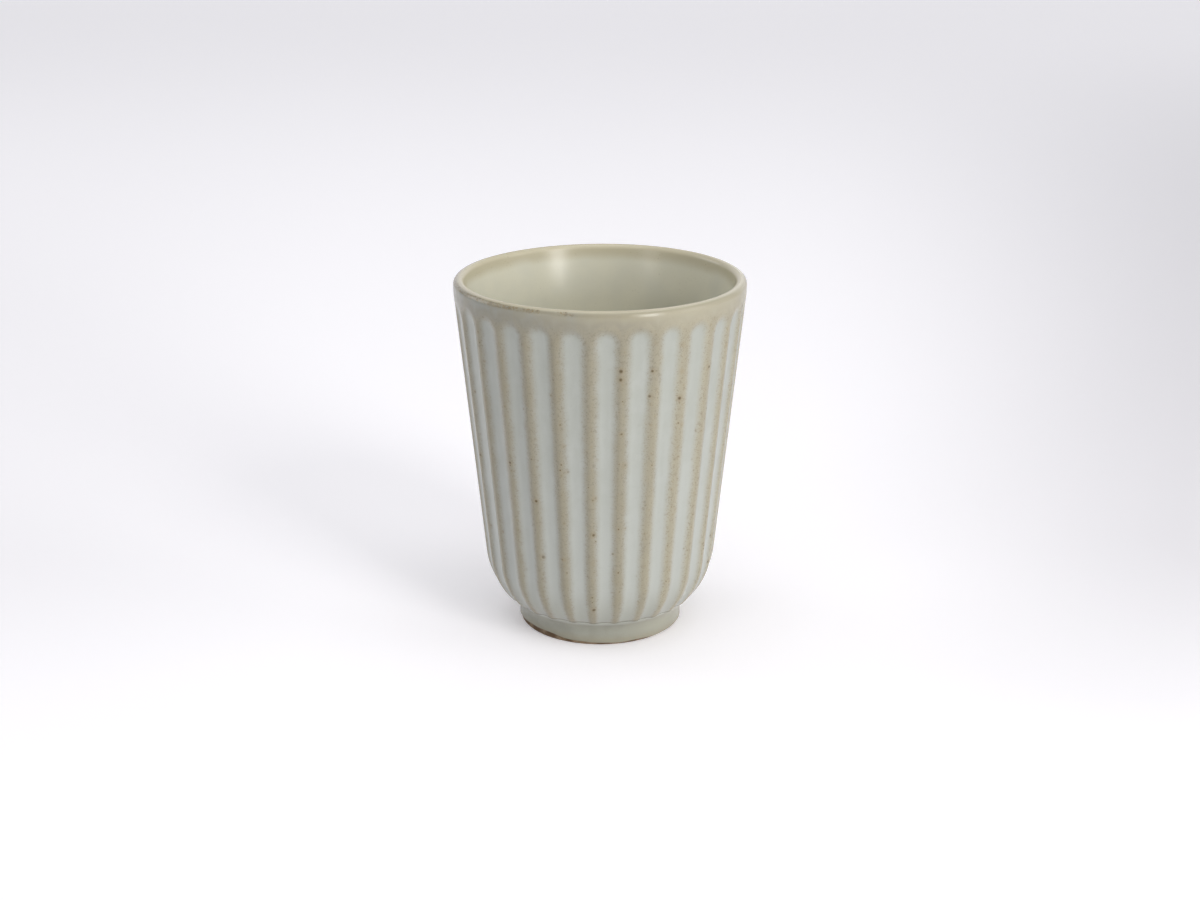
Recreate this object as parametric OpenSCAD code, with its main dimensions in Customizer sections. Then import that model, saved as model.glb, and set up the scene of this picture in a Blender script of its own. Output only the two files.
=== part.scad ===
// Fluted tea cup: a handleless stoneware cup on a small foot ring, glazed inside and out.
// The origin lies on the table under the middle of the cup, with Z up. All sizes are in millimetres.

/* [Body] */
// Height of the clay, from the table to the crest of the lip
cup_h = 93.4; // [84:0.2:120]
// Diameter of the clay at the lip
rim_d = 74.4; // [68:0.2:90]
// Diameter where the straight wall turns into the heel
heel_d = 60; // [54:0.2:66]
// Height where the straight wall turns into the heel
heel_z = 20; // [17:0.2:28]
// Diameter of the body at the crease, where the heel meets the foot
crease_d = 48.4; // [45:0.2:52]
// Thickness of the wall at the ridges
wall_t = 2.7; // [2.2:0.1:5]
// Thickness of the floor, above the foot
floor_t = 4; // [3:0.1:7]
// Radius of the curve between the inner wall and the floor
well_r = 14; // [8:0.5:18]

/* [Flutes] */
// Number of flutes round the cup
flute_n = 28; // [24:1:34]
// Depth of a flute below the ridges beside it
flute_depth = 1.3; // [0.8:0.1:1.6]
// Share of that depth left at the crease, where the flutes run out round the heel
flute_end = 0.5; // [0.3:0.05:1]
// Width of a ridge between two flutes
ridge_w = 2; // [1.4:0.1:3]
// Plain band between the crest of the lip and the tops of the flutes
rim_band = 3.6; // [3:0.1:9]
// Height of the round arch that ends each flute under the band
arch_h = 3.4; // [2:0.1:5]

/* [Foot] */
// Height of the foot ring, from the table to the crease
foot_h = 7.2; // [5.6:0.1:9]
// Diameter of the foot ring at the table
foot_d = 42; // [39:0.2:44]
// Radius of the cove that flares the foot out to its shoulder, under the crease
shoulder_r = 4.5; // [4.2:0.1:7]
// How far the shoulder stays inside the ridges above it
shoulder_set = 0.3; // [0.2:0.1:1]
// How far the neck of that cove is drawn in from the shoulder
neck_in = 2.2; // [1.2:0.1:2.4]
// Diameter of the well under the foot, at the table
foot_well_d = 33; // [29:0.2:35]
// How much the well narrows towards the floor, on the radius
foot_well_draft = 1; // [0:0.1:2]
// Bevel on the edges that the cup stands on
foot_bevel = 0.4; // [0.3:0.1:1]

/* [Glaze] */
// Thickness of the glaze on the ridges, the lip, the foot and the inside
glaze_t = 0.35; // [0.2:0.05:0.5]
// Thickness of the glaze that pools in the flutes
glaze_pool = 0.75; // [0.5:0.05:1]
// Height of the bare clay left between the table and the glaze
bare_h = 1.2; // [1:0.1:2.5]

/* [Hidden] */
$fn = 96;

// The lip is a half round on top of the wall.
lip_r = wall_t / 2;
lip_z = cup_h - lip_r;
crest_r = rim_d / 2 - lip_r;

// The straight wall leans out from the heel to the lip.
wall_slope = (rim_d / 2 - heel_d / 2) / (lip_z - heel_z);
wall_a = atan(wall_slope);
lean_out = [cos(wall_a), -sin(wall_a)];
function wall_x(z) = rim_d / 2 - wall_slope * (lip_z - z);

// The heel is the arc that leaves the wall at a tangent and passes through the crease.
heel_p = [heel_d / 2, heel_z];
crease_p = [crease_d / 2, foot_h];
heel_r = pow(norm(crease_p - heel_p), 2) / (2 * (heel_p - crease_p) * lean_out);
heel_c = heel_p - heel_r * lean_out;
crease_a = asin((foot_h - heel_c.y) / heel_r);

// Radius at height z of the surface a coat outside the ridges, or inside them if the coat is negative.
function form_x(z, coat) =
    z > heel_c.y - (heel_r + coat) * sin(wall_a)
        ? wall_x(z) + coat / cos(wall_a)
        : heel_c.x + sqrt(pow(heel_r + coat, 2) - pow(z - heel_c.y, 2));

// The well is the hollow inside, with a rounded corner that is tangent to its wall and its floor.
floor_z = foot_h + floor_t;
well_c = [wall_x(floor_z + well_r) - wall_t - well_r / cos(wall_a), floor_z + well_r];

// Heights of the rings that the fluted surface is lofted through: round the heel, then over the arches.
heel_steps = 5;
arch_top = cup_h - rim_band;
arch_base = arch_top - arch_h;
arch_stops = [0, 0.5, 0.87, 1];
fluted_z = concat(
    [for (i = [0 : heel_steps]) heel_c.y + heel_r * sin(crease_a - (wall_a + crease_a) * i / heel_steps)],
    [for (t = arch_stops) arch_base + t * arch_h],
    [lip_z]);

// Where a ring crosses a flute: the edges of its ridges, halfway in, and the bed.
stations = [-1, -0.5, 0, 0.5, 1];
function flute_half_a(z) = 180 / flute_n - ridge_w / 2 / form_x(z, 0) * 180 / PI;

// Share of the full depth: a round bed that ends in a round arch and grows shallow round the heel.
function arch_t(z) = max(0, (z - arch_base) / arch_h);
function heel_t(z) = max(0, (heel_z - z) / (heel_z - foot_h));
function scoop(s, z) =
    max(0, 1 - pow(s, 2) - pow(arch_t(z), 2)) * (1 - (1 - flute_end) * heel_t(z));

// A ring of points at height z, with one radius for each station.
function ring(z, half_a, radii) =
    [for (i = [0 : flute_n - 1], k = [0 : len(stations) - 1])
        let (a = 360 / flute_n * (i + 0.5) + stations[k] * half_a)
        [radii[k] * cos(a), radii[k] * sin(a), z]];
function plain_ring(r, z) = ring(z, flute_half_a(lip_z), [for (s = stations) r]);

// The fluted outside from the crease to the lip. The ridges carry the coat, and the beds lie lower.
function fluted_rings(coat, depth) =
    [for (z = fluted_z)
        ring(z, flute_half_a(z), [for (s = stations) form_x(z, coat - depth * scoop(s, z))])];

// Section of the lip between two angles: 0 is on the outer wall, 90 on the crest, 180 on the inner wall.
lip_step = 30;
function lip_arc(coat, from, to) =
    [for (a = [from : lip_step : to]) [crest_r, lip_z] + (lip_r + coat) * [cos(a), sin(a)]];

// Section of the well's corner, from the inner wall to the floor.
well_steps = 6;
function well_arc(coat) =
    [for (i = [0 : well_steps])
        let (a = -wall_a - (90 - wall_a) * i / well_steps)
        well_c + (well_r - coat) * [cos(a), sin(a)]];

function turned(section) = [for (p = section) plain_ring(p.x, p.y)];
function backwards(list) = [for (k = [len(list) - 1 : -1 : 0]) list[k]];

// Two triangles for each step along a pair of rings, with the diagonal leaning one way or the other.
ring_n = flute_n * len(stations);
function strip(from, to, lean_back) =
    [for (i = [0 : ring_n - 1])
        let (
            next = (i + 1) % ring_n,
            a = from * ring_n + i,
            b = from * ring_n + next,
            c = to * ring_n + next,
            d = to * ring_n + i
        )
        each lean_back ? [[a, d, b], [b, d, c]] : [[a, c, b], [a, d, c]]];

// A coat: its face from the first ring to the last, then its back.
// The triangles of the back match those of the clay that it covers.
module coat_loft(face, back) {
    rings = concat(face, backwards(back));
    polyhedron(
        points = [for (ring = rings) each ring],
        faces = [for (k = [0 : len(rings) - 1]) each strip(k, (k + 1) % len(rings), k >= len(face))]);
}

// A solid through a stack of rings, closed by a disc on the first ring and another on the last.
module solid_loft(rings) {
    last = len(rings) - 1;
    rim_start = last * ring_n;
    first_middle = len(rings) * ring_n;
    middles = [[0, 0, rings[0][0].z], [0, 0, rings[last][0].z]];
    first_disc = [for (i = [0 : ring_n - 1]) [first_middle, i, (i + 1) % ring_n]];
    last_disc = [for (i = [0 : ring_n - 1])
        [first_middle + 1, rim_start + (i + 1) % ring_n, rim_start + i]];
    polyhedron(
        points = concat([for (ring = rings) each ring], middles),
        faces = concat([for (k = [0 : last - 1]) each strip(k, k + 1, false)], first_disc, last_disc));
}

// The cove ends at the shoulder, and its innermost point is the neck. Its centre lies outside the foot.
shoulder_p = [crease_d / 2 - shoulder_set, foot_h];
shoulder_a = acos(1 - neck_in / shoulder_r);
cove_c = shoulder_p + shoulder_r * [cos(shoulder_a), -sin(shoulder_a)];

// The foot ring's flank leans out from the table and runs into the cove at a tangent.
flank_p = [foot_d / 2, 0];
cove_v = cove_c - flank_p;
flank_a = atan2(cove_v.x, cove_v.y) - asin(shoulder_r / norm(cove_v));
function flank_x(z, coat) = flank_p.x + z * tan(flank_a) + coat / cos(flank_a);

cove_steps = 8;
function cove(coat) =
    let (
        r = shoulder_r - coat,
        from = 180 - flank_a,
        to = 180 - asin((foot_h - cove_c.y) / r)
    )
    [for (i = [0 : cove_steps])
        let (a = from + (to - from) * i / cove_steps)
        cove_c + r * [cos(a), sin(a)]];

// The well under the foot narrows towards the floor.
foot_well_top = foot_well_d / 2 - foot_well_draft;
function foot_well_x(z) = foot_well_d / 2 - foot_well_draft * z / foot_h;

// Section of the foot ring, grown on its outside by a coat of glaze.
module foot_outline(coat) {
    polygon(concat(
        [[foot_well_d / 2 + foot_bevel, 0]],
        [[foot_d / 2 - foot_bevel, 0]],
        [[flank_x(foot_bevel, coat), foot_bevel]],
        cove(coat),
        [[foot_well_top, foot_h]],
        [[foot_well_x(foot_bevel), foot_bevel]]));
}

// Clay wall and floor, with the flutes in the outside.
module stoneware_body() {
    outside = fluted_rings(0, flute_depth);
    lip = turned(lip_arc(0, lip_step, 180));
    well = turned(well_arc(0));
    color([0.63, 0.56, 0.45])
        solid_loft(concat(outside, lip, well));
}

// Clay ring under the body, seated against it at the crease.
module foot_ring() {
    color([0.55, 0.46, 0.36])
        rotate_extrude()
            foot_outline(0);
}

// Glaze outside, thin on the ridges and deep in the flutes.
// It runs from the crest of the lip over the shoulder to the bare clay above the table.
module outer_glaze() {
    glazed_depth = flute_depth + glaze_t - glaze_pool;
    face = concat(fluted_rings(glaze_t, glazed_depth), turned(lip_arc(glaze_t, lip_step, 90)));
    back = concat(fluted_rings(0, flute_depth), turned(lip_arc(0, lip_step, 90)));
    color([0.72, 0.73, 0.7]) {
        coat_loft(face, back);
        rotate_extrude()
            difference() {
                foot_outline(glaze_t);
                foot_outline(0);
                square([crease_d, bare_h]);
            }
    }
}

// Glaze inside, from the crest of the lip to the floor.
module inner_glaze() {
    color([0.66, 0.65, 0.57])
        rotate_extrude()
            polygon(concat(
                [[0, floor_z]],
                backwards(well_arc(0)),
                backwards(lip_arc(0, 90, 180)),
                lip_arc(glaze_t, 90, 180),
                well_arc(glaze_t),
                [[0, floor_z + glaze_t]]));
}

// Glaze in the well under the foot. The face that the cup stands on stays bare.
module base_glaze() {
    color([0.7, 0.7, 0.66])
        rotate_extrude()
            polygon([
                [0, foot_h],
                [foot_well_top, foot_h],
                [foot_well_x(bare_h), bare_h],
                [foot_well_x(bare_h) - glaze_t, bare_h],
                [foot_well_top - glaze_t, foot_h - glaze_t],
                [0, foot_h - glaze_t],
            ]);
}

stoneware_body();
foot_ring();
outer_glaze();
inner_glaze();
base_glaze();
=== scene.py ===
"""Fluted tea cup in stoneware, with a satin glaze that is tan on the ridges and pale blue-grey in the flutes.

Lengths are in millimetres up to the point where a mesh, a lamp or the camera is made. Angles are in radians,
apart from those of the windows, which are in degrees.
"""

import math

import bpy
import numpy as np
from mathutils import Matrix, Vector


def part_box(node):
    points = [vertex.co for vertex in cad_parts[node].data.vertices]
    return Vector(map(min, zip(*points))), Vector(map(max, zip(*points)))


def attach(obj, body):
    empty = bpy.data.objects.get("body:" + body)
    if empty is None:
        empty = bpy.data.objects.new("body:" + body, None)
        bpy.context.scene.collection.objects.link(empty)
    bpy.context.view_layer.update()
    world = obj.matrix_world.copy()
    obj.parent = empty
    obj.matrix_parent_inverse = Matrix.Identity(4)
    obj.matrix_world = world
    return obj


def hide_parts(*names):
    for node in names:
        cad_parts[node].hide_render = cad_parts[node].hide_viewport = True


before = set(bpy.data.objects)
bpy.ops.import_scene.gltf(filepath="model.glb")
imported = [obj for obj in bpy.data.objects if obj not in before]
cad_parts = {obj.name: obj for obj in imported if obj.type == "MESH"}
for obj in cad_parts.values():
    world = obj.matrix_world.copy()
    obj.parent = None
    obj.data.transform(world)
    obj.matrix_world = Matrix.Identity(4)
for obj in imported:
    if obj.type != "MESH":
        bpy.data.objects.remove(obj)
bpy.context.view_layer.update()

MM = 0.001
hand = np.random.default_rng(28)


# The cup's form: heights from its solids, then the sizes that they were made to

foot_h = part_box("foot_ring")[1].z / MM
clay_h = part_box("stoneware_body")[1].z / MM
crest_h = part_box("outer_glaze")[1].z / MM
glaze_t = crest_h - clay_h
floor_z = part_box("inner_glaze")[0].z / MM

rim_r = 37.2
heel_r = 30.0
heel_z = 20.0
crease_r = 24.2
wall_t = 2.7
well_round = 14.0

flute_n = 28
rim_band = 3.6
flute_end = 0.5

cove_round = 4.5
foot_well_r = 16.5
foot_well_top_r = 15.5
foot_bevel = 0.4

# Small forms fitted to the photo, some of them a little apart from the solids: first those round the foot

crease_z = foot_h + 0.35
crease_in = 0.32
crease_h = 0.15
ledge_out = 0.18
ledge_h = 0.4
shoulder_set = 0.35
shoulder_drop = 0.75
neck_in = 2.7
foot_r = 21.25
glaze_line = 0.75
base_edge = 1.2

# The flutes: arches, round ridges and dished beds, in clay that is cut deeper than its glaze shows

arch_h = 5.2
ridge_round = 1.0
ridge_h = 0.48
bed_dip = 0.32
pooled = 1.4
pool_past_end = 0.9

# The lip, drawn thinner than the wall, and the inner wall, which opens out over its last centimetre

lip_taper = 0.15
lip_thin = 0.25
flare_z = 80.0
flare_soft = 3.0
flare = 0.108

# What follows from them: the lip's round, the wall's lean and the heel's arc down to the crease

lip_c = np.array([rim_r - wall_t / 2, clay_h - wall_t / 2])
lip_round = wall_t / 2 - lip_taper
wall_a = math.atan((rim_r - heel_r) / (lip_c[1] - heel_z))
lean = np.array([math.cos(wall_a), -math.sin(wall_a)])

wall_foot = np.array([heel_r, heel_z])
crease = np.array([crease_r, crease_z])
heel_round = np.sum((wall_foot - crease) ** 2) / (2 * np.dot(wall_foot - crease, lean))
heel_c = wall_foot - heel_round * lean
crease_a = math.asin((crease_z - heel_c[1]) / heel_round)


# Sections, as rows of radius and height

def arc(centre, radius, start, end, steps):
    """Points of a round part of a section."""
    a = np.linspace(start, end, steps)
    return np.asarray(centre) + radius * np.stack([np.cos(a), np.sin(a)], 1)


def along(points, step):
    """Points at an even step along a line of points."""
    run = np.concatenate([[0], np.cumsum(np.linalg.norm(np.diff(points, axis=0), axis=1))])
    at = np.linspace(0, run[-1], max(2, round(run[-1] / step) + 1))
    return np.stack([np.interp(at, run, points[:, 0]), np.interp(at, run, points[:, 1])], 1)


def softened(points, step, blur):
    """The same line with its corners rounded over a distance. Its ends stay where they are."""
    reach = round(3 * blur / step)
    weights = np.exp(-0.5 * (np.arange(-reach, reach + 1) * step / blur) ** 2)
    start, end = 2 * points[0] - points[reach:0:-1], 2 * points[-1] - points[-2:-reach - 2:-1]
    padded = np.concatenate([start, points, end])
    return np.stack([np.convolve(padded[:, k], weights / weights.sum(), "valid") for k in range(2)], 1)


def thinned(points, fine, coarse, dense):
    """Fewer points of an even line: a fine step where dense(point) holds, and a coarse one elsewhere."""
    kept, gap = [points[0]], 0.0
    for before, point in zip(points, points[1:]):
        gap += np.linalg.norm(point - before)
        if gap >= (fine if dense(point) else coarse):
            kept.append(point)
            gap = 0.0
    kept[-1] = points[-1]
    return np.array(kept)


def facing(points):
    """Directions square to a line of points, to the right of its run."""
    run = np.gradient(points, axis=0)
    run /= np.linalg.norm(run, axis=1, keepdims=True)
    return np.stack([run[:, 1], -run[:, 0]], 1)


# The glazed outside, from the glaze line above the table to the crest of the lip

shoulder = np.array([crease_r - shoulder_set, crease_z])
shoulder_a = math.acos(1 - neck_in / cove_round)
cove_c = shoulder + cove_round * np.array([math.cos(shoulder_a), -math.sin(shoulder_a)])
cove_way = cove_c - (foot_r, 0)
flank_a = math.atan2(*cove_way) - math.asin(cove_round / np.linalg.norm(cove_way))


def foot_side(coat, low):
    """Section of the foot from a height up its flank and round its cove, a coat outside the clay."""
    r = cove_round - coat
    end_a = math.pi - math.asin((crease_z - shoulder_drop - cove_c[1]) / r)
    start = foot_r + low * math.tan(flank_a) + coat / math.cos(flank_a)
    return np.concatenate([[(start, low)], arc(cove_c, r, math.pi - flank_a, end_a, 24)])


def turns_fast(point):
    """Whether the outside needs close rings at a point: round the foot, and from the arches to the lip."""
    return point[1] < crease_z + 2 or point[1] > clay_h - rim_band - arch_h - 1.5


LINE_STEP = 0.04
CORNER_BLUR = 0.14
CLOSE_RINGS = 0.22
WIDE_RINGS = 1.3

foot_face = foot_side(glaze_t, glaze_line)
ledge = foot_face[-1] + (ledge_out, ledge_h)
groove = ledge + (-crease_in, crease_h)
heel_start_a = crease_a + 0.006
band_start = wall_foot + (clay_h - rim_band - heel_z) * np.array([math.tan(wall_a), 1]) + glaze_t * lean
outside = np.concatenate([
    foot_face,
    [ledge, groove],
    arc(heel_c, heel_round + glaze_t, heel_start_a, -wall_a, 60),
    [band_start],
    arc(lip_c, lip_round + glaze_t, 0, math.pi / 2, 40),
])
outside = softened(along(outside, LINE_STEP), LINE_STEP, CORNER_BLUR)
outside = thinned(outside, CLOSE_RINGS, WIDE_RINGS, turns_fast)
outside_n = facing(outside)


# The flutes, cut by hand: each leans, and ends under the lip, a little differently

COLUMNS = 18
flute = np.repeat(np.arange(flute_n), COLUMNS)
share = np.tile(np.arange(COLUMNS) / COLUMNS, flute_n)

SWAY_RISE = 24
ridge_off = hand.uniform(-0.006, 0.006, flute_n)
ridge_sway = hand.uniform(-0.005, 0.005, flute_n)
ridge_phase = hand.uniform(0, 2 * math.pi, flute_n)
flute_top = clay_h - rim_band + hand.uniform(-0.45, 0.45, flute_n)
flute_cut = hand.uniform(0.92, 1.08, flute_n)


def ridge_angle(i, z):
    """Where ridge i stands at a height. Ridge 0 is on the cup's right, at +X."""
    i = i % flute_n
    sway = ridge_sway[i] * np.sin(z / SWAY_RISE + ridge_phase[i])
    return 2 * math.pi * i / flute_n + ridge_off[i] + sway


def column_angles(z):
    """Angles of the columns at each height: they follow the ridges."""
    z = z[:, None]
    left = ridge_angle(flute, z)
    step = (ridge_angle(flute + 1, z) - left) % (2 * math.pi)
    return left + share * step


def soft_step(low, high, x):
    """0 below low, 1 above high, and a soft rise between. It falls instead where low is above high."""
    t = np.clip((x - low) / (high - low), 0, 1)
    return t * t * (3 - 2 * t)


def off_bed(section, past_end=0.0):
    """How far each ring and column lies from the middle of a bed: 1 on a ridge and on the arch that ends a
    flute, and more above it. The arch can be taken to lie some way past the flute's end."""
    across = np.abs(2 * share - 1)
    rise = np.maximum(0, (section[:, 1:] - flute_top[flute] - past_end + arch_h) / arch_h)
    return np.hypot(across, rise)


def flute_depth(section):
    """Depth below the ridges: round ridges, a nearly flat bed, and less of both round the heel."""
    r, z = section[:, :1], section[:, 1:]
    into = np.maximum(0, 1 - off_bed(section))
    off_ridge = into * math.pi * r / flute_n
    ridge = ridge_h * (1 - np.exp(-0.5 * (off_ridge / ridge_round) ** 2))
    bed = bed_dip * (0.5 - 0.5 * np.cos(math.pi * into))
    kept = 1 - (1 - flute_end) * np.clip((heel_z - z) / (heel_z - crease_z), 0, 1)
    above_crease = soft_step(crease_z - 0.40, crease_z - 0.05, z)
    return (ridge + bed) * kept * flute_cut[flute] * above_crease


def pressed(section, normals, depth):
    """Rings of the fluted outside, pressed in from a section by a depth at each ring and column."""
    a = column_angles(section[:, 1])
    r = section[:, :1] - depth * normals[:, :1]
    z = section[:, 1:] - depth * normals[:, 1:]
    return np.stack([r * np.cos(a), r * np.sin(a), z], -1)


def turned(section, columns=224):
    """Rings of a form turned on the wheel."""
    a = np.linspace(0, 2 * math.pi, columns, endpoint=False)
    r, z = section[:, :1], section[:, 1:]
    return np.stack([r * np.cos(a), r * np.sin(a), z + 0 * a], -1)


OVAL = 0.0016
WOBBLE = 0.0009
WOBBLE_RISE = 31
LIP_DIP = 0.12
DIP_FROM = 60


def hand_turned(rings):
    """The wheel's small unevenness, which the whole cup shares: out of round, and a lip that dips."""
    x, y, z = np.moveaxis(rings, -1, 0)
    a = np.arctan2(y, x)
    out = 1 + OVAL * np.sin(2 * a + 0.6) + WOBBLE * np.sin(3 * a + 2.1) * np.sin(z / WOBBLE_RISE)
    dip = LIP_DIP * np.sin(2 * a - 0.8) * soft_step(DIP_FROM, clay_h, z)
    return np.stack([x * out, y * out, z + dip], -1)


# The glaze line's waves, as height, count and phase, and the bare clay where the glaze stopped short
LINE_WAVES = ((0.10, 5, 1.0), (0.08, 11, 0.3), (0.05, 17, 0.0))
LINE_DROP = 0.1
LINE_REACH = 4.0
BARE_H = 1.2
BARE_A = -2.4


def run_down(rings):
    """The same rings with the lowest ones drawn to the uneven line that the glaze ran to above the table."""
    x, y, z = np.moveaxis(rings, -1, 0)
    a = np.arctan2(y, x)
    uneven = sum(size * np.sin(count * a + phase) for size, count, phase in LINE_WAVES) - LINE_DROP
    uneven += BARE_H * np.maximum(0, np.cos(a - BARE_A)) ** 4
    return np.stack([x, y, z + uneven * soft_step(glaze_line + LINE_REACH, glaze_line, z)], -1)


# Materials

class Wire:
    """An output socket of a shader node. Sums and products of wires add Math nodes."""

    def __init__(self, tree, socket=None):
        self.tree, self.socket = tree, socket

    def node(self, kind, settings=(), sockets=(), output=0):
        """A new node: its settings are set first, then the values or links of its sockets."""
        made = self.tree.nodes.new(kind)
        for name, value in dict(settings).items():
            setattr(made, name, value)
        for name, value in dict(sockets).items():
            if isinstance(value, Wire):
                self.tree.links.new(value.socket, made.inputs[name])
            else:
                made.inputs[name].default_value = value
        return Wire(self.tree, made.outputs[output])

    def math(self, operation, *values):
        """A Math node on values, each of them a wire or a number."""
        return self.node("ShaderNodeMath", {"operation": operation}, enumerate(values))

    def __add__(self, other):
        return self.math("ADD", self, other)

    def __sub__(self, other):
        return self.math("SUBTRACT", self, other)

    def __rsub__(self, other):
        return self.math("SUBTRACT", other, self)

    def __mul__(self, other):
        return self.math("MULTIPLY", self, other)

    __radd__, __rmul__ = __add__, __mul__

    def step(self, low, high):
        """0 below low, 1 above high, and a soft rise between. It falls instead where low is above high."""
        return self.node(
            "ShaderNodeMapRange", {"interpolation_type": "SMOOTHSTEP"},
            {"Value": self, "From Min": low, "From Max": high})


def mixed(factor, first, second):
    """A colour between two, by a wire. A Mix node has colours at its inputs 6 and 7 and its output 2."""
    first, second = (tint if isinstance(tint, Wire) else (*tint, 1) for tint in (first, second))
    return factor.node("ShaderNodeMix", {"data_type": "RGBA"}, {0: factor, 6: first, 7: second}, 2)


def new_material(name):
    """A new material: its shader, and a wire to draw more from."""
    material = bpy.data.materials.new(name)
    material.use_nodes = True
    shader = material.node_tree.nodes["Principled BSDF"]
    return material, shader, Wire(material.node_tree)


def feed(shader, **wires):
    """Links wires to a shader's sockets, whose names are given with underscores for spaces."""
    for name, wire in wires.items():
        wire.tree.links.new(wire.socket, shader.inputs[name.replace("_", " ")])


def noise(place, size, detail=2.0, rough=0.5):
    """Cloudy grain whose patches are about a size across, from 0 to 1 round a middle of 0.5."""
    sockets = {"Vector": place, "Scale": 1 / (size * MM), "Detail": detail, "Roughness": rough}
    return place.node("ShaderNodeTexNoise", {}, sockets)


def stretched(place, scale):
    """A place scaled along each axis, so that what is drawn on it grows where the scale is small."""
    return place.node("ShaderNodeVectorMath", {"operation": "MULTIPLY"}, {0: place, 1: scale})


def specks(place, kept, cell, reach):
    """Round specks, one at most in each cell: a mask of their dark middles and one of the halos round them.
    A share of the cells is kept."""
    settings = {"voronoi_dimensions": "3D", "feature": "F1"}
    sockets = {"Vector": place, "Scale": 1 / (cell * MM)}
    away = place.node("ShaderNodeTexVoronoi", settings, sockets, "Distance")
    tint = place.node("ShaderNodeTexVoronoi", settings, sockets, "Color")
    chance = place.node("ShaderNodeSeparateColor", {}, {"Color": tint}, "Red")
    growth = place.node("ShaderNodeSeparateColor", {}, {"Color": tint}, "Green")
    held = chance.step(kept + 0.01, kept)
    edge = reach / cell * (0.5 + growth)
    ratio = away.math("DIVIDE", away, edge)
    return held * ratio.step(1.1, 0.35), held * ratio.step(2.6, 0.7)


def bumped(height, depth):
    """A surface direction from a wire of heights, where 1 stands a depth above 0."""
    sockets = {"Height": height, "Distance": depth * MM, "Strength": 1.0}
    return height.node("ShaderNodeBump", {}, sockets, "Normal")


def place_of(wire):
    """Where a point lies on the object, in metres."""
    return wire.node("ShaderNodeTexCoord", {}, {}, "Object")


def height_of(place):
    """A point's height above the table, in millimetres."""
    return place.node("ShaderNodeSeparateXYZ", {}, {"Vector": place}, "Z") * (1 / MM)


def toward(place, way):
    """How far a point lies along a level direction from the cup's axis, in millimetres."""
    sockets = {0: place, 1: (*way, 0)}
    return place.node("ShaderNodeVectorMath", {"operation": "DOT_PRODUCT"}, sockets, "Value") * (1 / MM)


def carried(wire, name):
    """A number that the mesh carries at its points."""
    return wire.node("ShaderNodeAttribute", {"attribute_name": name}, {}, "Fac")


# Glaze where it is thin: ridges, the band under the lip and the lip itself; some of these tones are painted
# light and painted shade
TAN = (0.372, 0.340, 0.246)
TAN_DEEP = (0.325, 0.293, 0.205)
TAN_LIT = (0.442, 0.408, 0.300)
TAN_PALE = (0.590, 0.535, 0.385)
CREST_HIGHLIGHT = (0.720, 0.665, 0.510)
BAND = (0.384, 0.350, 0.246)
BAND_SHADED = (0.340, 0.340, 0.292)
BAND_PALE = (0.425, 0.408, 0.330)
ARCH_SHADE = (0.300, 0.282, 0.218)

# Glaze where it is thick: flutes, heel and foot, with painted light and shade round the foot
POOL = (0.470, 0.487, 0.446)
POOL_COOL = (0.428, 0.443, 0.396)
HEEL = (0.392, 0.398, 0.342)
CREASE_POOL_AND_SHADE = (0.200, 0.190, 0.150)
LEDGE_HIGHLIGHT = (0.560, 0.568, 0.515)
FOOT_GREY = (0.318, 0.318, 0.262)
FOOT_PALE = (0.358, 0.357, 0.296)
FOOT_LIT = (0.400, 0.392, 0.318)

# Glaze inside, iron and clay
LINER = (0.678, 0.655, 0.525)
LINER_DEEP = (0.642, 0.626, 0.512)
OCHRE = (0.500, 0.448, 0.305)
GRAIN = (0.200, 0.165, 0.110)
IRON = (0.115, 0.078, 0.032)
IRON_HALO = (0.300, 0.225, 0.110)
CLAY = (0.330, 0.240, 0.150)
CLAY_TOASTED = (0.130, 0.076, 0.036)
BUFF = (0.470, 0.390, 0.280)

# Iron spots: the share of cells that hold one, a cell's width, and a spot's usual reach from its middle
RIDGE_IRON = {"kept": 0.50, "cell": 1.3, "reach": 0.18}
LARGE_IRON = {"kept": 0.50, "cell": 3.5, "reach": 0.42}
LIP_IRON = {"kept": 0.75, "cell": 1.7, "reach": 0.32}
LINER_IRON = {"kept": 0.16, "cell": 5.5, "reach": 0.32}
BASE_IRON = {"kept": 0.25, "cell": 5.5, "reach": 0.36}

GLAZE_IOR = 1.5
GLAZE_RELIEF = 0.05
CLAY_RELIEF = 0.10

# The way to the cup's shaded side, away from the windows: the outside is painted greyer and cooler under the
# lip there, as painted shade, and paler and warmer on the lit side, as painted light
SHADED_WAY = (-0.97, -0.25)


def ironed(colour, place, where, **spots):
    """A glaze with iron that has bled through it in spots, as strong as a mask or a number says."""
    cores, halos = specks(place, **spots)
    colour = mixed(halos * where * 0.3, colour, IRON_HALO)
    return mixed(cores * where, colour, IRON)


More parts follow.
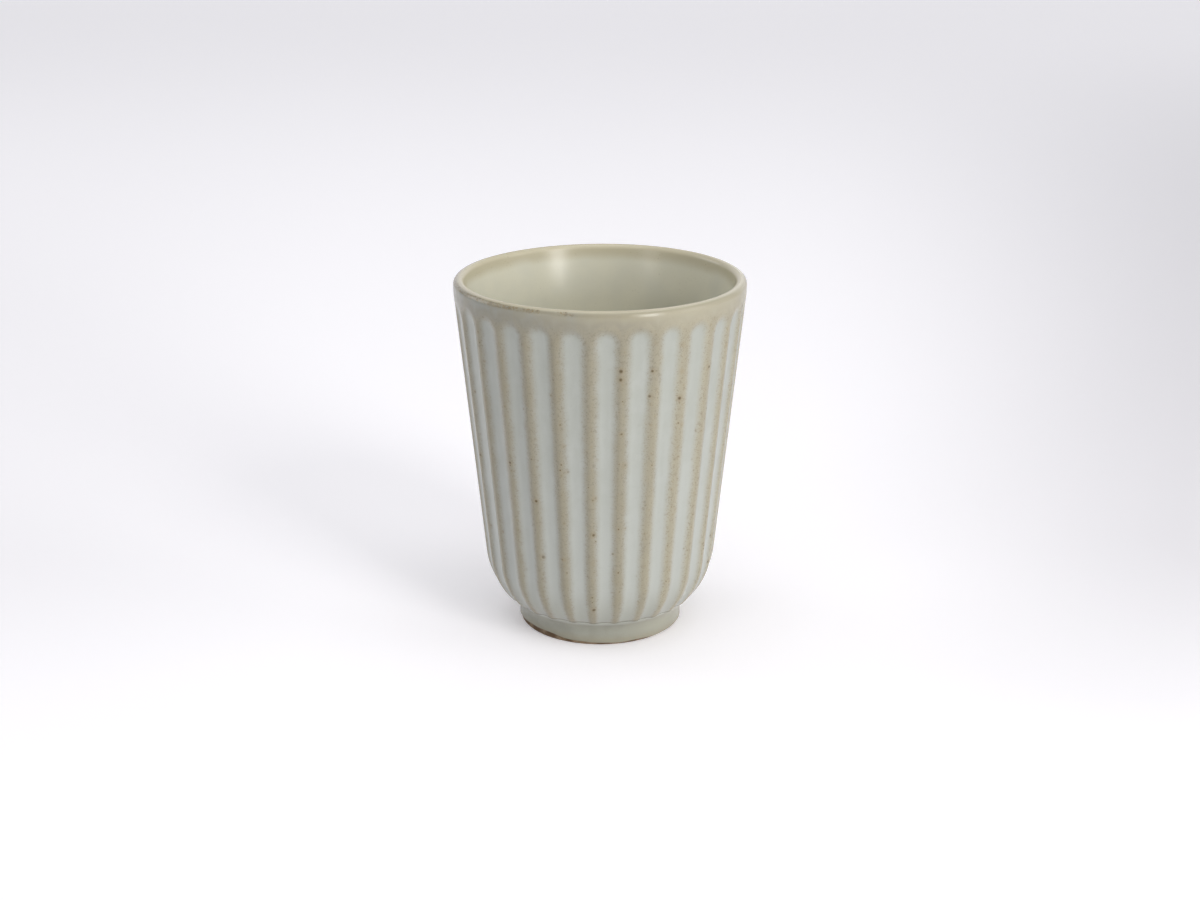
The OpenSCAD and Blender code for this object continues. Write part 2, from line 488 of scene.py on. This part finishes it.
def outer_glaze_finish():
    """The outer coat: tan and speckled where thin, blue-grey where it has pooled, greyer on the foot, with
    light and shade painted into its colour on the sides, over the arches, on the lip and round the foot.
    """
    material, shader, wire = new_material("outer_glaze_satin")
    place = place_of(wire)
    height = height_of(place)
    below = crest_h - height
    into = carried(wire, "into_flute")
    cloud = noise(place, 5.0, 3.0)
    drift = cloud - 0.5
    runs = noise(stretched(place, (1, 1, 0.22)), 1.7)
    blots = noise(place, 0.85, rough=0.55)
    grain = noise(place, 0.33, 1.0)
    toward_shade = toward(place, SHADED_WAY)
    # Masks of the shaded side, away from the windows, and of the lit side, for painted shade and painted
    # light
    shaded_side = (toward_shade + drift * 30).step(0.0, 32.0)
    lit_side = (toward_shade + drift * 8).step(1.0, -14.0)
    patchy = cloud.step(0.35, 0.65)

    # Thickness: pooled in the beds, and thin again near the lip
    thick = (into + drift * 0.14 + (runs - 0.5) * 0.10).step(0.10, 0.76)
    thick = thick * (below - drift * 3).step(2.55, 6.95)
    thin = 1 - thick

    # Thin glaze: ridges, then the band over them, painted paler and warmer on the lit side and greyer and
    # cooler on the shaded side, with painted shade over each arch, and paler between the arches
    tan = mixed(patchy, TAN_DEEP, TAN)
    # The band's painted light and shade: warmer on the lit side, greyer on the shaded side
    lit_band = mixed(cloud.step(0.38, 0.55), TAN, BAND)
    shaded_band = mixed((cloud + (runs - 0.5) * 0.4).step(0.30, 0.70) * 0.6 + 0.4, TAN_DEEP, BAND_SHADED)
    in_band = (below - drift * 4).step(7.75, 3.75)
    tan = mixed(in_band, tan, mixed(shaded_side, lit_band, shaded_band))
    # Painted light: a paler, warmer tan on the lit side
    tan = mixed(lit_side * 0.85, tan, TAN_LIT)
    past = carried(wire, "past_arch") + drift * 0.5 + (blots - 0.5) * 0.2
    under_lip = below.step(1.35, 3.55)
    # Painted shade above each arch, where the surface turns down into the flute, weaker on the lit side
    shade_over_arch = past.step(-0.2, 0.12) * past.step(0.75, 0.05) * under_lip
    tan = mixed(shade_over_arch * (0.7 - lit_side * 0.5), tan, ARCH_SHADE)
    tan = mixed(past.step(0.15, 0.80) * under_lip * 0.45, tan, BAND_PALE)
    # The lip's crest: a paler tan on its top, partly the thin glaze there and partly painted light, and a
    # painted highlight on the lit side
    tan = mixed(below.step(0.65, 0.10) * 0.95, tan, mixed(lit_side, TAN_PALE, CREST_HIGHLIGHT))

    # Thick glaze: paler down the flutes, partly the glaze pooling lower and partly painted light from the
    # paper below; duller round the heel
    far_down = below.step(5.75, 81.75)
    blue = mixed((runs * 0.4 + cloud * 0.5 + far_down * 0.35).step(0.34, 0.80), POOL_COOL, POOL)
    colour = mixed(thick, tan, blue)
    colour = mixed(height.step(heel_z, foot_h + 1.8) * thick * 0.8, colour, HEEL)

    # The foot: grey, painted paler and warmer on the lit side, with a painted highlight on the ledge under a
    # crease darkened partly by gathered glaze and partly by painted shade, and browner at the glaze line
    foot = height.step(crease_z + 0.1, crease_z - 0.1)
    # Painted light: the foot paler and warmer on the lit side
    colour = mixed(foot, colour, mixed(lit_side, mixed(patchy, FOOT_GREY, FOOT_PALE), FOOT_LIT))
    # Painted highlight along the ledge, which also lightens the shade of the cove under it
    highlight_on_ledge = height.step(crease_z - 1.9, crease_z - 0.9) * height.step(crease_z - 0.08, crease_z - 0.2)
    colour = mixed(highlight_on_ledge * 0.75, colour, LEDGE_HIGHLIGHT)
    # The crease: darker, partly from glaze gathered there and partly painted shade
    in_crease = height.step(crease_z - 0.2, crease_z - 0.05) * height.step(crease_z + 0.6, crease_z + 0.3)
    colour = mixed(in_crease * 0.75, colour, CREASE_POOL_AND_SHADE)
    clay_edge = (height - toward_shade * 0.04 + drift * 1.2).step(3.4, 0.8)
    colour = mixed(clay_edge * 0.6, colour, TAN_DEEP)

    # Iron and grain: on the ridges, and in clusters along the lip's outer edge
    speckled = thin * (1 - foot) * below.step(3.25, 6.75)
    spotted = speckled * 0.85 + 0.06
    colour = mixed((blots + drift * 0.2).step(0.54, 0.72) * spotted * 0.42, colour, GRAIN)
    colour = mixed(grain.step(0.56, 0.71) * spotted * 0.56, colour, GRAIN)
    crown = into.step(0.30, 0.06)
    colour = mixed(crown * speckled * 0.35, colour, TAN_DEEP)
    colour = ironed(colour, place, speckled * (crown * 0.7 + 0.2), **RIDGE_IRON)
    colour = ironed(colour, place, speckled * 0.9 + 0.04, **LARGE_IRON)
    lip_edge = below.step(1.35, 0.95) * below.step(0.20, 0.45)
    clusters = lip_edge * (noise(place, 4.5) + (shaded_side - 0.75) * 0.6).step(0.32, 0.52)
    colour = mixed(lip_edge * shaded_side * 0.6, colour, TAN_DEEP)
    colour = mixed(blots.step(0.50, 0.60) * clusters * 0.6, colour, GRAIN)
    colour = mixed(grain.step(0.52, 0.64) * clusters * 0.85, colour, IRON_HALO)
    colour = ironed(colour, place, clusters * 0.9, **LIP_IRON)

    # The roughness stays under 0.27 all over, so that the renderer cleans the whole coat in one way
    rough = thin * 0.015 + 0.240 - below.step(2.75, 1.35) * 0.05 + (grain - 0.5) * 0.03
    relief = blots * speckled * 0.3 + runs * 0.4 + grain * 0.12
    feed(shader, Base_Color=colour, Roughness=rough, Normal=bumped(relief, GLAZE_RELIEF))
    shader.inputs["IOR"].default_value = GLAZE_IOR
    return material


def liner_finish():
    """The inner coat: smooth and olive-grey, with faint turning lines, ochre under the lip."""
    material, shader, wire = new_material("inner_glaze_satin")
    place = place_of(wire)
    below = crest_h - height_of(place)
    cloud = noise(place, 9.0, 3.0)
    drift = cloud - 0.5
    grain = noise(place, 0.45, rough=0.6)
    turning = noise(stretched(place, (0.15, 0.15, 1)), 2.4)

    near_lip = (below - drift * 2).step(4.75, 1.95)
    colour = mixed(cloud.step(0.3, 0.7), LINER_DEEP, LINER)
    colour = mixed(near_lip * 0.8, colour, OCHRE)
    # The lip's crest in pale tan, partly the thin glaze there and partly painted light on its top
    colour = mixed(below.step(1.45, 0.55), colour, TAN_PALE)
    colour = mixed((grain + drift * 0.3).step(0.66, 0.80) * (near_lip * 0.4 + 0.20), colour, GRAIN)
    colour = ironed(colour, place, near_lip * 0.5 + 0.35, **LINER_IRON)
    relief = turning * 0.5 + grain * 0.06
    feed(shader, Base_Color=colour, Roughness=0.262 + drift * 0.02, Normal=bumped(relief, GLAZE_RELIEF))
    shader.inputs["IOR"].default_value = GLAZE_IOR
    return material


def base_glaze_finish():
    """The coat in the foot well: cloudy grey-green, browner at its edge."""
    material, shader, wire = new_material("base_glaze_satin")
    place = place_of(wire)
    cloud = noise(place, 6.0, 3.0)
    grain = noise(place, 0.45, rough=0.6)
    colour = mixed(cloud.step(0.3, 0.7), FOOT_GREY, POOL_COOL)
    colour = mixed(height_of(place).step(base_edge + 1, base_edge) * 0.7, colour, TAN_DEEP)
    colour = mixed(grain.step(0.66, 0.78) * 0.25, colour, GRAIN)
    colour = ironed(colour, place, 0.8, **BASE_IRON)
    rough = 0.36 + (cloud - 0.5) * 0.06
    feed(shader, Base_Color=colour, Roughness=rough, Normal=bumped(grain * 0.3 + cloud, GLAZE_RELIEF))
    shader.inputs["IOR"].default_value = GLAZE_IOR
    return material


def clay_finish(name, pale, dark):
    """Bare fired clay: grog grains, darker in patches, dry to the touch."""
    material, shader, wire = new_material(name)
    place = place_of(wire)
    cloud = noise(place, 4.0, 4.0, 0.6)
    grog = noise(place, 0.35, 3.0, 0.7)
    colour = mixed(cloud.step(0.35, 0.65), dark, pale)
    colour = mixed(grog.step(0.58, 0.72) * 0.5, colour, GRAIN)
    rough = 0.80 + (grog - 0.5) * 0.2
    feed(shader, Base_Color=colour, Roughness=rough, Normal=bumped(grog, CLAY_RELIEF))
    return material


# Pieces

def piece(name, rings, capped, node, slot, material, **carries):
    """A closed mesh through rings of points. A capped stack ends in a middle point at each end, and any other
    stack runs from its last ring back to its first. The solid lies to the left of the section's run."""
    count, columns = rings.shape[:2]
    points = rings.reshape(-1, 3)
    k = np.arange(count - 1 if capped else count)[:, None]
    i = np.arange(columns)[None, :]
    up, on = (k + 1) % count, (i + 1) % columns
    faces = np.stack([k * columns + i, k * columns + on, up * columns + on, up * columns + i], -1)
    faces = faces.reshape(-1, 4).tolist()
    if capped:
        points = np.concatenate([points, [rings[0].mean(0)], [rings[-1].mean(0)]])
        first, last, top = count * columns, count * columns + 1, (count - 1) * columns
        faces += [(first, (j + 1) % columns, j) for j in range(columns)]
        faces += [(last, top + j, top + (j + 1) % columns) for j in range(columns)]
    mesh = bpy.data.meshes.new(name)
    mesh.from_pydata((points * MM).tolist(), [], faces)
    for attribute, values in carries.items():
        layer = mesh.attributes.new(attribute, "FLOAT", "POINT")
        layer.data.foreach_set("value", values.astype(np.float32).ravel())
    mesh.shade_smooth()
    mesh.set_sharp_from_angle(angle=math.radians(50))
    mesh.materials.append(material)
    made = bpy.data.objects.new(name, mesh)
    bpy.context.scene.collection.objects.link(made)
    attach(made, "root")
    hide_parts(node)


# A hair's gap between clay and coat, and the small ring that a cap closes
CLEAR = 0.02
POLE_R = 0.4


# The outer coat: its face, and a back against the clay with one ring for every four

BACK_EVERY = 4
back = np.unique(np.concatenate([np.arange(0, len(outside), BACK_EVERY), [len(outside) - 1]]))
depth = flute_depth(outside)
glaze_face = run_down(pressed(outside, outside_n, depth))
clay_face = run_down(pressed(outside[back], outside_n[back], glaze_t + pooled * depth[back]))

off_pool = off_bed(outside, pool_past_end)
off_pool = np.concatenate([off_pool, off_pool[back][::-1]])
piece(
    "outer_glaze_coat", hand_turned(np.concatenate([glaze_face, clay_face[::-1]])), False,
    "outer_glaze", "outer_glaze", outer_glaze_finish(),
    into_flute=np.maximum(0, 1 - off_pool), past_arch=np.maximum(0, off_pool - 1))


# The inner coat

def flared(z):
    """How far the well's wall has opened at a height: it leans out more over its last centimetre."""
    return flare * (z - flare_z + np.sqrt((z - flare_z) ** 2 + flare_soft ** 2)) / 2


def inside(coat, steps):
    """Section of the well, from the middle of the floor to the crest of the lip, a coat above the clay."""
    lip_r = np.array([lip_round - lip_thin, lip_round]) + coat
    lip_start_a = math.pi - 0.24
    lip = lip_c + lip_r * arc((0, 0), 1, lip_start_a, math.pi / 2, steps)
    corner_z = floor_z + well_round
    corner_r = rim_r - (lip_c[1] - corner_z) * math.tan(wall_a) - wall_t - well_round / lean[0]
    corner = arc((corner_r, corner_z), well_round - coat, -math.pi / 2, -wall_a, steps)
    floor = np.linspace((POLE_R, floor_z + coat), corner[0], steps)
    rise = np.linspace(corner[-1][1], lip[0][1], 4 * steps)
    lean_in = np.linspace(corner[-1][0], lip[0][0] - flared(lip[0][1]), 4 * steps)
    wall = np.stack([lean_in + flared(rise), rise], 1)
    return np.concatenate([floor[:-1], corner[:-1], wall[:-1], lip])


FACE_STEPS = 44
HIDDEN_STEPS = 16
liner_section = np.concatenate([inside(0, HIDDEN_STEPS), inside(glaze_t, FACE_STEPS)[::-1]])
piece(
    "inner_glaze_coat", hand_turned(turned(liner_section)), True,
    "inner_glaze", "inner_glaze", liner_finish())


# The clay body, whose outside is the outer coat's back

first_clay = int(np.argmax(outside[back][:, 1] > crease_z + 0.3))
under_r = crease_r - 2.5
under = np.linspace((POLE_R, foot_h), (under_r, foot_h), 6)
body_inside = inside(-CLEAR, HIDDEN_STEPS)[::-1]
body_rings = np.concatenate([
    turned(under, share.size), clay_face[first_clay:], turned(body_inside, share.size),
])
piece(
    "clay_body", hand_turned(body_rings), True, "stoneware_body", "stoneware",
    clay_finish("stoneware_buff", BUFF, CLAY))


# The clay foot, which stands on its bare ring

FOOT_STEP = 0.1
FOOT_BLUR = 0.12
seat_r = crease_r - 1.0
well_edge_r = foot_well_r - 0.1
foot_section = along(np.concatenate([
    [(foot_well_top_r, foot_h), (well_edge_r, foot_bevel), (foot_well_r + foot_bevel, 0)],
    [(foot_r - foot_bevel, 0)],
    foot_side(-CLEAR, foot_bevel),
    [(seat_r, foot_h)],
]), FOOT_STEP)
foot_section = softened(foot_section, FOOT_STEP, FOOT_BLUR)
foot_section[:, 1] = np.maximum(foot_section[:, 1], 0)
piece(
    "clay_foot", hand_turned(turned(foot_section)), False, "foot_ring", "bare_clay",
    clay_finish("bare_clay_toasted", CLAY, CLAY_TOASTED))


# The coat in the foot well

BASE_STEP = 0.2
BASE_BLUR = 0.5
base_round = 1.0
base_edge_r = foot_well_r - 0.17
base_top = foot_h - glaze_t
base_face = along(np.array([
    (POLE_R, base_top), (foot_well_top_r - glaze_t - base_round, base_top),
    (foot_well_top_r - glaze_t, base_top - base_round), (base_edge_r - glaze_t, base_edge),
]), BASE_STEP)
base_face = softened(base_face, BASE_STEP, BASE_BLUR)
base_back = [(base_edge_r, base_edge), (foot_well_top_r, foot_h - CLEAR), (POLE_R, foot_h - CLEAR)]
piece(
    "base_glaze_coat", hand_turned(turned(np.concatenate([base_face, base_back]))), True,
    "base_glaze", "base_glaze", base_glaze_finish())


# Studio: a sweep of white paper, windows on the right and the left, a ceiling light and open sky

CAMERA_ROUND = math.radians(3.87)
CAMERA_UP = math.radians(19.15)
CAMERA_AWAY = 487.0
AIM_H = 46.46


def seen_from(round_a, up, away):
    """A point at a distance from the camera's aim: its angles are right of the front and above the level."""
    flat = math.cos(up)
    way = Vector((math.sin(round_a) * flat, -math.cos(round_a) * flat, math.sin(up)))
    return (Vector((0, 0, AIM_H)) + away * way) * MM


def aimed(thing, place):
    """Puts a lamp or the camera at a place, turned to the aim on the cup's axis."""
    thing.location = place
    thing.rotation_euler = (Vector((0, 0, AIM_H * MM)) - place).to_track_quat("-Z", "Y").to_euler()
    bpy.context.scene.collection.objects.link(thing)


lens = bpy.data.cameras.new("camera")
lens.sensor_width, lens.lens = 36.0, 55.5
camera = bpy.data.objects.new("camera", lens)
aimed(camera, seen_from(CAMERA_ROUND, CAMERA_UP, CAMERA_AWAY))
bpy.context.scene.camera = camera


def window(name, right, up, away, size, power, tint):
    """A soft box, right of the camera by an angle in degrees and above the level by another."""
    lamp = bpy.data.lights.new(name, "AREA")
    lamp.shape, lamp.size, lamp.size_y = "RECTANGLE", size[0] * MM, size[1] * MM
    lamp.energy, lamp.color = power, tint
    place = seen_from(CAMERA_ROUND + math.radians(right), math.radians(up), away)
    aimed(bpy.data.objects.new(name, lamp), place)


DAYLIGHT = (1.0, 0.99, 0.97)
NEUTRAL = (1.0, 1.0, 1.0)
window("low_window", 38, 9, 1100, (230, 260), 2.6, DAYLIGHT)
window("high_window", 40, 31, 1100, (320, 420), 3.6, DAYLIGHT)
window("side_window", 78, 22, 1200, (500, 600), 1.8, DAYLIGHT)
window("left_window", -45, 13, 1200, (240, 320), 0.85, NEUTRAL)
window("far_left_window", -112, 22, 1200, (600, 600), 2.1, NEUTRAL)
window("ceiling", 0, 89, 1100, (900, 900), 3.5, NEUTRAL)

world = bpy.data.worlds.new("open_light")
bpy.context.scene.world = world
world.use_nodes = True
sky = world.node_tree.nodes["Background"]
sky.inputs["Color"].default_value = (0.95, 0.98, 1.05, 1)
sky.inputs["Strength"].default_value = 0.34

# The paper's glow, and the painted shade on its sides, which fans out from a point in front of the cup, in
# metres
PAPER = (0.928, 0.906, 0.924)
PAPER_GLOW = (1.0, 0.985, 1.0)
GLOW_NEAR = 0.25
GLOW_PER_METRE = 0.11
FAN_BACK = 0.5
DIM_RIGHT = 0.28
DIM_LEFT = 0.09


def paper_finish():
    """White paper that shows a little paler than its light would make it, more so farther back, and with
    painted shade to the right and the left behind the cup."""
    material, shader, wire = new_material("white_paper")
    shader.inputs["Base Color"].default_value = (*PAPER, 1)
    shader.inputs["Roughness"].default_value = 0.9
    shader.inputs["Specular IOR Level"].default_value = 0.0
    place = place_of(wire)
    across, deep = (place.node("ShaderNodeSeparateXYZ", {}, {"Vector": place}, axis) for axis in "XY")
    off_axis = across.math("DIVIDE", across, deep.math("MAXIMUM", deep + FAN_BACK, 0.3))
    reach = deep.step(1.4, 0.15) * deep.step(-0.12, 0.06) * across.math("ABSOLUTE", across).step(1.2, 0.5)
    # Painted shade on the paper to the right and the left behind the cup
    dim = (off_axis.step(0.08, 0.36) * DIM_RIGHT + off_axis.step(-0.08, -0.36) * DIM_LEFT) * reach
    amount = GLOW_NEAR + deep.math("MAXIMUM", deep, 0.0) * GLOW_PER_METRE - dim
    glow = mixed(amount, (0, 0, 0), PAPER_GLOW)

    lit = Wire(material.node_tree, shader.outputs[0])
    lift = wire.node("ShaderNodeEmission", {}, {"Color": glow}, "Emission")
    lifted = wire.node("ShaderNodeAddShader", {}, {0: lit, 1: lift})
    kinds = ("Camera", "Glossy", "Transmission")
    camera_ray, glossy_ray, clear_ray = (
        wire.node("ShaderNodeLightPath", {}, {}, f"Is {kind} Ray") for kind in kinds)
    shown = wire.math("MAXIMUM", wire.math("MAXIMUM", camera_ray, glossy_ray), clear_ray)
    surface = wire.node("ShaderNodeMixShader", {}, {0: shown, 1: lit, 2: lifted})
    output = material.node_tree.nodes["Material Output"]
    material.node_tree.links.new(surface.socket, output.inputs["Surface"])
    return material


def paper_sweep():
    """A floor that turns up behind the cup in one round bend, turned to face the camera."""
    near, far, half = -2500, 3000, 3000
    bend, top = 500, 2600
    turn = arc((far, bend), bend, -math.pi / 2, 0, 24)
    line = np.concatenate([np.linspace((near, 0), (far, 0), 40)[:-1], turn, [(far + bend, top)]])
    points = [(x * MM, y * MM, z * MM) for y, z in line for x in (-half, half)]
    faces = [(2 * k, 2 * k + 1, 2 * k + 3, 2 * k + 2) for k in range(len(line) - 1)]
    mesh = bpy.data.meshes.new("paper_sweep")
    mesh.from_pydata(points, [], faces)
    mesh.shade_smooth()
    mesh.materials.append(paper_finish())
    sweep = bpy.data.objects.new("paper_sweep", mesh)
    sweep.rotation_euler.z = CAMERA_ROUND
    bpy.context.scene.collection.objects.link(sweep)


paper_sweep()
bpy.context.scene.view_settings.view_transform = "Standard"
